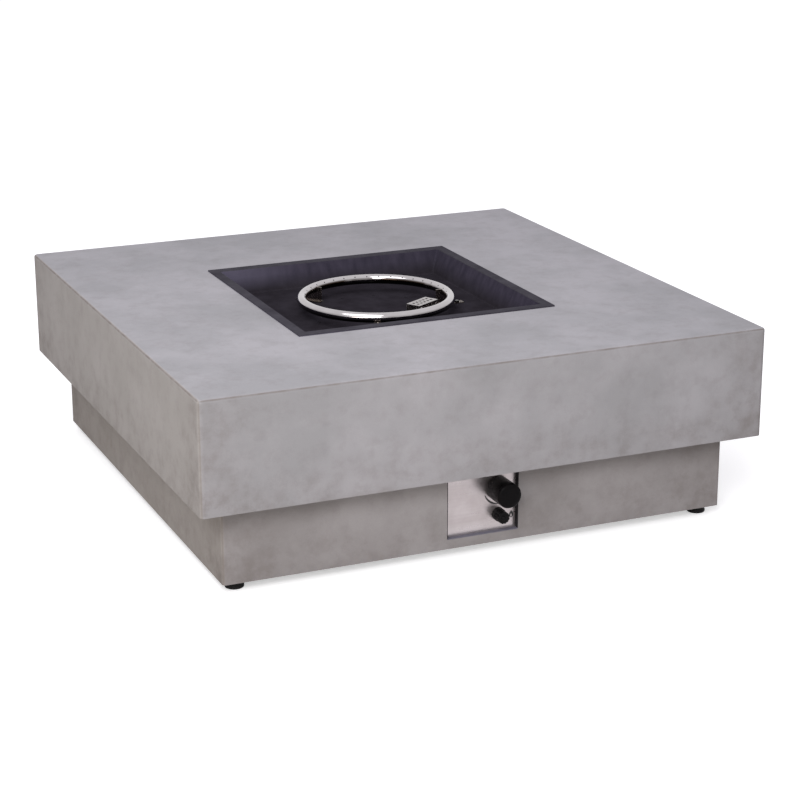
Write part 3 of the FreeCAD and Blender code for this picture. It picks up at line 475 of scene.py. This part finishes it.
polished = Paint("polished_stainless", metallic=1.0)
haze = noise(polished, 60.0, 4.0)
drawn = noise(polished, 600.0, 2.0, stretch=(1.0, 1.0, 0.1))
drift = spread(noise(polished, 9.0, 3.0, 0.6), 0.44, 0.56)
rise = axis(polished, "Z") - RING_LEVEL
across, along = axis(polished, "X"), axis(polished, "Y")
squares = across * across + along * along
inner = spread(squares.sum_of("SQRT", squares), RING_RADIUS - 0.003, RING_RADIUS, 1.0, 0.0)
# Brown band high on the sides: partly heat tint, partly painted dark reflection.
side_band = spread(rise, 0.30 * TUBE_RADIUS, 0.60 * TUBE_RADIUS, 1.0, 0.0)
# Painted reflection: near black low on the tube, for the black pan it mirrors.
painted_dark_reflection = spread(rise, -0.35 * TUBE_RADIUS, 0.02 * TUBE_RADIUS, 1.0, 0.0)
heat_tint_and_reflection = side_band * largest(drift * 0.5, inner * (0.45 + drift * 0.55))
tone = blend(haze, pigment(176, 171, 173), pigment(196, 192, 195))
tone = blend(heat_tint_and_reflection, tone, pigment(52, 43, 37))
tone = blend(painted_dark_reflection, tone, pigment(34, 31, 31))
polished.wear(base_color=tone, roughness=spread(haze, 0.3, 0.7, 0.06, 0.14))
relief(polished, drawn, 0.00005, 0.2)


def ring_tube(work):
    loops = []
    for step in range(RING_STEPS):
        turn = 2 * math.pi * step / RING_STEPS
        loop = []
        for side in range(TUBE_STEPS):
            angle = 2 * math.pi * side / TUBE_STEPS
            reach = RING_RADIUS + TUBE_RADIUS * math.cos(angle)
            height = RING_LEVEL + TUBE_RADIUS * math.sin(angle)
            loop.append((reach * math.cos(turn), reach * math.sin(turn), height))
        loops.append(loop)
    sweep(work, loops)
    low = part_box("burner_ring")[0].z
    high = RING_LEVEL - TUBE_RADIUS / 2
    inlet_y = -math.sqrt(RING_RADIUS**2 - INLET_X**2)
    tube = [(0.0, 0.0), (INLET_RADIUS, 0.0), (INLET_RADIUS, high - low), (0.0, high - low)]
    lathe(work, tube, Matrix.Translation((INLET_X, inlet_y, low)), INLET_STEPS)


polished.coat(add_piece("burner_ring_tube", ring_tube, "burner_steel", "burner_ring"))


def ring_ports(work):
    """Discs of painted shade over the drilled ports, each facing up and inwards on the tube.
    """
    for index in range(PORT_COUNT):
        turn = 2 * math.pi * (index + 0.5) / PORT_COUNT
        outward = Vector((math.cos(turn), math.sin(turn), 0.0))
        slant = (Vector((0, 0, 1)) - outward).normalized()
        centre = outward * RING_RADIUS + Vector((0, 0, RING_LEVEL))
        centre += slant * (TUBE_RADIUS + PORT_LIFT)
        facing = slant.to_track_quat("Z", "Y").to_matrix().to_4x4()
        place = Matrix.Translation(centre) @ facing
        bmesh.ops.create_circle(
            work, cap_ends=True, segments=PORT_STEPS, radius=PORT_RADIUS, matrix=place
        )


# The ports are discs of painted shade, near black, where the holes would be dark.
port_shade_paint = Paint("port_shadow", roughness=0.9)
port_shade_paint.wear(base_color=blend(noise(port_shade_paint, 900.0), pigment(18, 17, 17), pigment(34, 31, 30)))
port_shade_paint.coat(add_piece("burner_ring_ports", ring_ports, "burner_steel", smooth=False))
polished.coat("inlet_nuts")

# Saddles. Three folded plates of mill-finished stainless steel that carry the ring,
# screwed to the pan's floor and dulled by heat.

mill = Paint("saddle_stainless", metallic=1.0)
rolling = noise(mill, 160.0, 4.0, stretch=(1.0, 1.0, 0.2))
mottle(mill, rolling, pigment(138, 128, 122), pigment(166, 157, 150), 0.18, 0.32)
relief(mill, rolling, 0.0001, 0.2)
mill.coat("ring_saddle_1", "ring_saddle_2", "ring_saddle_3")
polished.coat("burner_screws")

# Pilot. A folded stainless hood with a punched roof stands over a plate that holds
# the spark electrode, in its ceramic sleeve, and the flame sensor.

hood_steel = Paint("hood_stainless", metallic=1.0)
brushing = noise(hood_steel, 220.0, 3.0, stretch=(0.15, 1.0, 1.0))
mottle(hood_steel, brushing, pigment(150, 145, 145), pigment(178, 173, 173), 0.24, 0.38)
relief(hood_steel, brushing, 0.0001, 0.3)
hood_steel.coat("pilot_hood", "pilot_plate", "electrode_rod", "flame_sensor")

glazed = Paint("electrode_ceramic", roughness=0.25, coat_weight=0.6, coat_roughness=0.1)
speckle = noise(glazed, 500.0)
glazed.wear(base_color=blend(speckle, pigment(226, 220, 208), pigment(240, 236, 228)))
glazed.coat("electrode_insulator")

# Gas line. A cast valve and air mixer with turned brass fittings and zinc-plated
# pipe, screwed together behind the control plate and under the pan.

casting = Paint("cast_aluminium", metallic=1.0)
sand = noise(casting, 350.0, 4.0)
mottle(casting, sand, pigment(176, 176, 176), pigment(198, 198, 197), 0.4, 0.55)
relief(casting, sand, 0.0003, 0.5)
casting.coat("gas_valve", "air_mixer")

brass = Paint("turned_brass", metallic=1.0)
tarnish = noise(brass, 150.0, 4.0)
mottle(brass, tarnish, pigment(202, 170, 96), pigment(178, 142, 76), 0.22, 0.38)
relief(brass, tarnish, 0.0001, 0.2)
brass.coat("gas_orifice", "gas_inlet_fitting", "pipe_elbow")
zinc.coat("gas_pipe", "gas_riser", "valve_screws")

# Control plate. Brushed stainless sheet held behind the opening by four screws, with
# a printed turning mark round the knob and a small printed flame beside the igniter.

PLATE_FRONT = -0.4725
PRINT = 0.0001
GLOW_LOW, GLOW_HIGH = 0.034, 0.060

plate_steel = Paint("plate_stainless", metallic=0.85)
rub = noise(plate_steel, 260.0, 4.0, stretch=(0.06, 1.0, 1.0))
clouding = spread(noise(plate_steel, 24.0, 4.0, 0.6), 0.4, 0.7, 0.0, 0.5)
# Painted light: the plate is painted paler towards its foot, above the sill.
painted_foot_light = spread(axis(plate_steel, "Z"), GLOW_LOW, GLOW_HIGH, 0.35, 0.0)
tone = blend(rub, pigment(163, 155, 156), pigment(180, 172, 173))
tone = blend(clouding, tone, pigment(150, 141, 140))
tone = blend(painted_foot_light, tone, pigment(212, 206, 208))
plate_steel.wear(base_color=tone, roughness=spread(rub, 0.3, 0.7, 0.26, 0.36))
relief(plate_steel, rub, 0.0001, 0.3)
plate_steel.coat("control_plate")
zinc.coat("plate_screws")

ink = Paint("black_print", roughness=0.55)
ink.wear(base_color=blend(noise(ink, 700.0), pigment(20, 19, 20), pigment(34, 32, 33)))

KNOB_X, KNOB_LEVEL = 0.032, 0.115
MARK_START, MARK_SWEEP = 206, 70
MARK_REACH, MARK_DRIFT = 0.0266, 0.0046
MARK_THIN, MARK_SWELL = 0.0005, 0.0013
MARK_STEPS = 28


def turning_mark(work):
    """A curved wedge that swells and drifts outwards as it goes round under the knob."""
    rows = []
    for step in range(MARK_STEPS + 1):
        share = step / MARK_STEPS
        angle = math.radians(MARK_START + MARK_SWEEP * share)
        middle = MARK_REACH + MARK_DRIFT * share
        half = MARK_THIN + MARK_SWELL * math.sin(math.pi * share)
        row = []
        for reach in (middle - half, middle + half):
            x = KNOB_X + reach * math.cos(angle)
            z = KNOB_LEVEL + reach * math.sin(angle)
            row.append(work.verts.new((x, PLATE_FRONT - PRINT, z)))
        rows.append(row)
    for first, second in zip(rows, rows[1:]):
        work.faces.new((first[0], first[1], second[1], second[0]))


ink.coat(add_piece("turning_mark", turning_mark, "panel_steel", smooth=False))

FLAME_X, FLAME_LEVEL = 0.060, 0.061
FLAME_HALF_WIDTH, FLAME_HALF_HEIGHT = 0.0056, 0.0070
FLAME_OUTER = (
    (0.0, 1.0),
    (0.30, 0.62),
    (0.62, 0.28),
    (0.80, -0.18),
    (0.66, -0.62),
    (0.30, -0.92),
    (0.0, -1.0),
)
FLAME_INNER = (
    (0.0, 0.10),
    (0.10, -0.04),
    (0.20, -0.18),
    (0.26, -0.38),
    (0.22, -0.60),
    (0.12, -0.74),
    (0.0, -0.80),
)


def flame_mark(work):
    """A plain flame outline, the same on its left and right."""
    for side in (-1, 1):
        rows = []
        for points in (FLAME_OUTER, FLAME_INNER):
            row = []
            for across, up in points:
                x = FLAME_X + side * FLAME_HALF_WIDTH * across
                z = FLAME_LEVEL + FLAME_HALF_HEIGHT * up
                row.append(work.verts.new((x, PLATE_FRONT - PRINT, z)))
            rows.append(row)
        outer, inner = rows
        for step in range(len(outer) - 1):
            work.faces.new((outer[step], outer[step + 1], inner[step + 1], inner[step]))


ink.coat(add_piece("flame_mark", flame_mark, "panel_steel", smooth=False))

# Opening trim. A thin black channel lines the cut edge of the stone round the plate,
# and its sill is painted paler, a painted highlight where it catches the light.

OPENING_HALF = 0.069
OPENING_LOW, OPENING_HIGH = 0.0344, 0.1504
TRIM_SHEET = 0.0011
TRIM_FRONT = -0.4827
TRIM_GAP = 0.0001
SILL_LOW, SILL_HIGH = OPENING_LOW + 0.0018, OPENING_LOW + 0.0022


def opening_trim(work):
    loops = []
    corners = ((-1, OPENING_LOW), (1, OPENING_LOW), (1, OPENING_HIGH), (-1, OPENING_HIGH))
    for side, level in corners:
        inward = 1 if level == OPENING_LOW else -1
        corner = (side * (OPENING_HALF - TRIM_GAP), level + inward * TRIM_GAP)
        inner = (side * (OPENING_HALF - TRIM_SHEET), level + inward * TRIM_SHEET)
        loops.append(
            [
                (corner[0], TRIM_FRONT, corner[1]),
                (inner[0], TRIM_FRONT, inner[1]),
                (inner[0], PLATE_FRONT - PRINT, inner[1]),
                (corner[0], PLATE_FRONT - PRINT, corner[1]),
            ]
        )
    sweep(work, loops)


trim_coat = Paint("trim_black", specular_ior_level=0.1, roughness=0.6)
painted_sill_light = spread(axis(trim_coat, "Z"), SILL_LOW, SILL_HIGH, 1.0, 0.0)
tone = blend(noise(trim_coat, 300.0), pigment(30, 29, 31), pigment(46, 44, 47))
trim_coat.wear(base_color=blend(painted_sill_light, tone, pigment(122, 120, 132)))
trim_coat.coat(add_piece("opening_trim", opening_trim, "rubber_black", smooth=False))

# Igniter. A black moulded body through the plate, with a bezel in front and a
# zinc-plated nut behind. Its screw cap shuts in the battery cell and carries a round
# push button.

igniter_black = Paint("igniter_black", specular_ior_level=0.05)
mould = noise(igniter_black, 300.0, 3.0)
mottle(igniter_black, mould, pigment(15, 14, 15), pigment(26, 25, 26), 0.34, 0.48)
relief(igniter_black, mould, 0.0002, 0.3)
igniter_black.coat("igniter_body", "igniter_bezel", "igniter_cap", "igniter_button")

cell_wrap = Paint("cell_wrap", metallic=0.6, roughness=0.35)
foil = noise(cell_wrap, 120.0)
cell_wrap.wear(base_color=blend(foil, pigment(92, 95, 99), pigment(120, 122, 126)))
cell_wrap.coat("igniter_cell")
brass.coat("cap_contact")
zinc.coat("igniter_nut")

# Knob. A black moulded cap with a domed front, hollow behind, with a hub that grips
# the stem of the valve. A moulded collar round the stem is pushed in with it.

KNOB_BACK, KNOB_FRONT = 0.005, 0.055
KNOB_RADIUS, KNOB_INSIDE = 0.0225, 0.0200
KNOB_DOME, DOME_POWER = 0.007, 2.8
DOME_STEPS = 12
LIP_RADIUS, LIP_DEPTH = 0.0219, 0.0006
HOLLOW_END = 0.0505
HUB_BACK, HUB_RADIUS = 0.0113, 0.0070
STEM_HOLE = 0.0041
KNOB_STEPS = 96
FACING_FRONT = Matrix.Rotation(math.radians(90), 4, "X")


def moulded_knob(work):
    profile = [
        (KNOB_INSIDE, KNOB_BACK),
        (LIP_RADIUS, KNOB_BACK),
        (KNOB_RADIUS, KNOB_BACK + LIP_DEPTH),
    ]
    for step in range(DOME_STEPS + 1):
        share = math.sin(math.pi / 2 * step / DOME_STEPS)
        rise = (1 - share**DOME_POWER) ** (1 / DOME_POWER)
        profile.append((KNOB_RADIUS * rise, KNOB_FRONT - KNOB_DOME * (1 - share)))
    profile += [(0.0, HOLLOW_END), (STEM_HOLE, HOLLOW_END)]
    profile += [(STEM_HOLE, HUB_BACK), (HUB_RADIUS, HUB_BACK)]
    profile += [(HUB_RADIUS, HOLLOW_END), (KNOB_INSIDE, HOLLOW_END)]
    place = Matrix.Translation((KNOB_X, PLATE_FRONT, KNOB_LEVEL)) @ FACING_FRONT
    lathe(work, profile, place, KNOB_STEPS)


knob_black = Paint("knob_black", specular_ior_level=0.03)
sheen = noise(knob_black, 90.0, 3.0)
mottle(knob_black, sheen, pigment(13, 12, 13), pigment(20, 18, 19), 0.26, 0.36)
relief(knob_black, noise(knob_black, 1400.0, 2.0), 0.0001, 0.2)
knob_black.coat(add_piece("moulded_knob", moulded_knob, "knob_black", "gas_knob", body="knob"))
hood_steel.coat("valve_stem")
igniter_black.coat("spring_seat")
